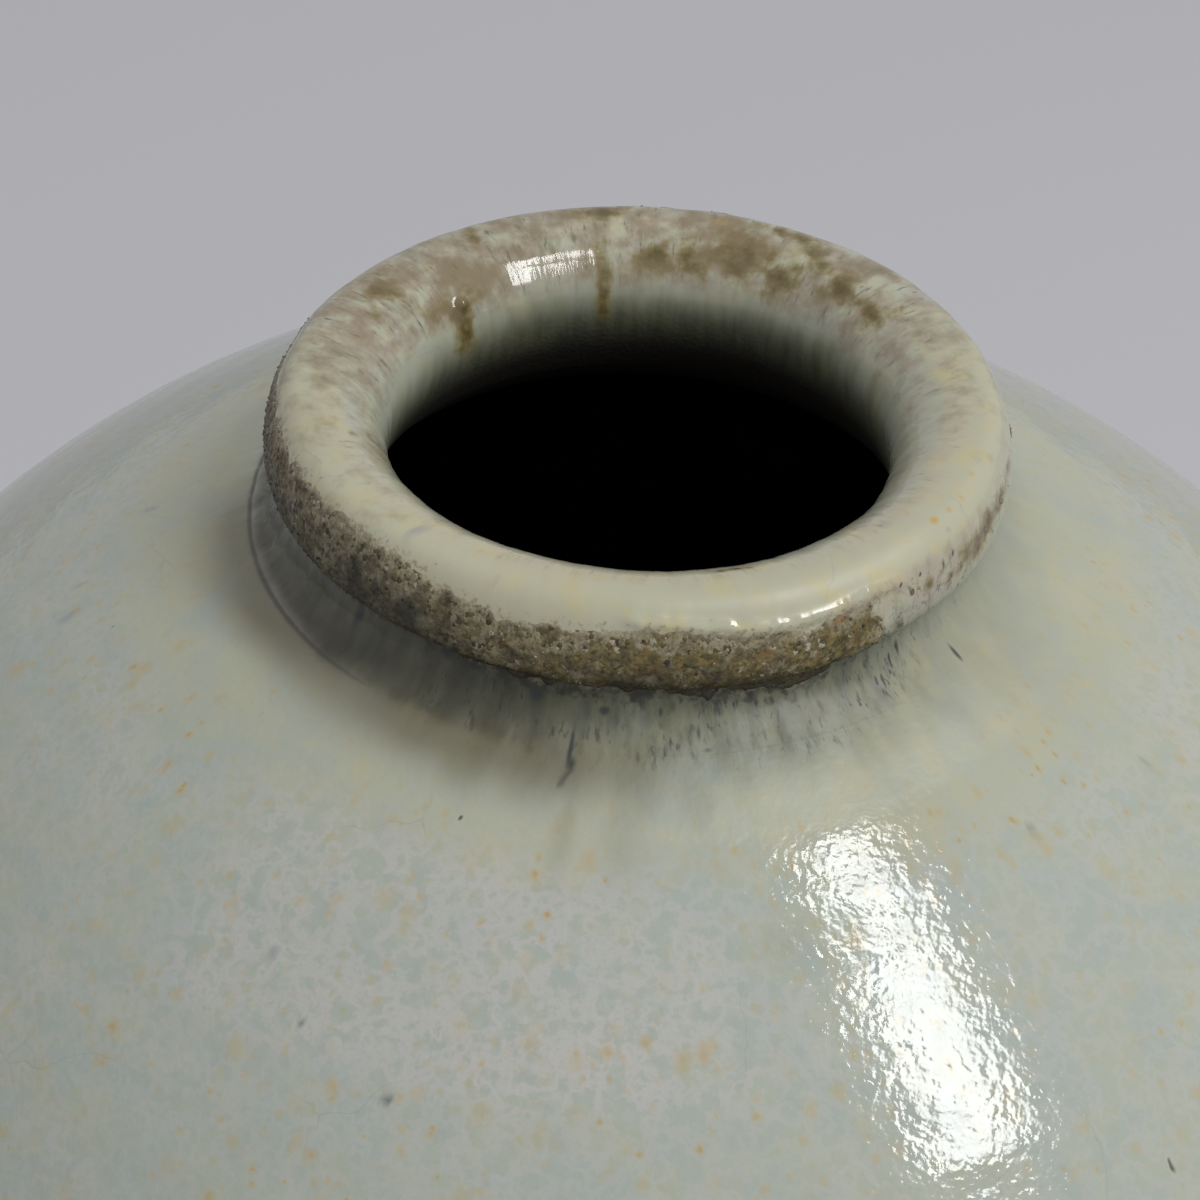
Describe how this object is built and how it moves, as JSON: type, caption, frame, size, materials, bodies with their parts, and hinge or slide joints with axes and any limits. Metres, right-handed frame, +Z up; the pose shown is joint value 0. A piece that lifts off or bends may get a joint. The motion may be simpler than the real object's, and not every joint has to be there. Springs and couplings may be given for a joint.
{
  "type": "ash-glazed jar",
  "caption": "Globular ash-glazed stoneware jar with a short neck, a thick rolled lip, a gritty ash crust on the lip and a turned foot ring, built from its thrown sections.",
  "frame": {"origin": "centre of the foot ring's resting face, on the surface that the jar stands on", "axes": "+Z up along the jar's axis of turning, from the foot to the mouth; -Y is the side that the picture faces"},
  "size_m": [0.2428, 0.2428, 0.2485],
  "materials": {
    "ash_glaze": "glossy pale grey-green ash glaze with ochre specks",
    "bare_clay": "matt unglazed stoneware, burnt brown",
    "ash_crust": "rough crust of kiln grit and melted ash"
  },
  "bodies": {
    "root": {"foot_ring": "bare_clay", "floor_slab": "ash_glaze", "lower_bowl": "ash_glaze", "upper_bowl": "ash_glaze", "neck_collar": "ash_glaze", "rolled_lip": "ash_glaze", "ash_crust": "ash_crust"}
  },
  "joints": []
}
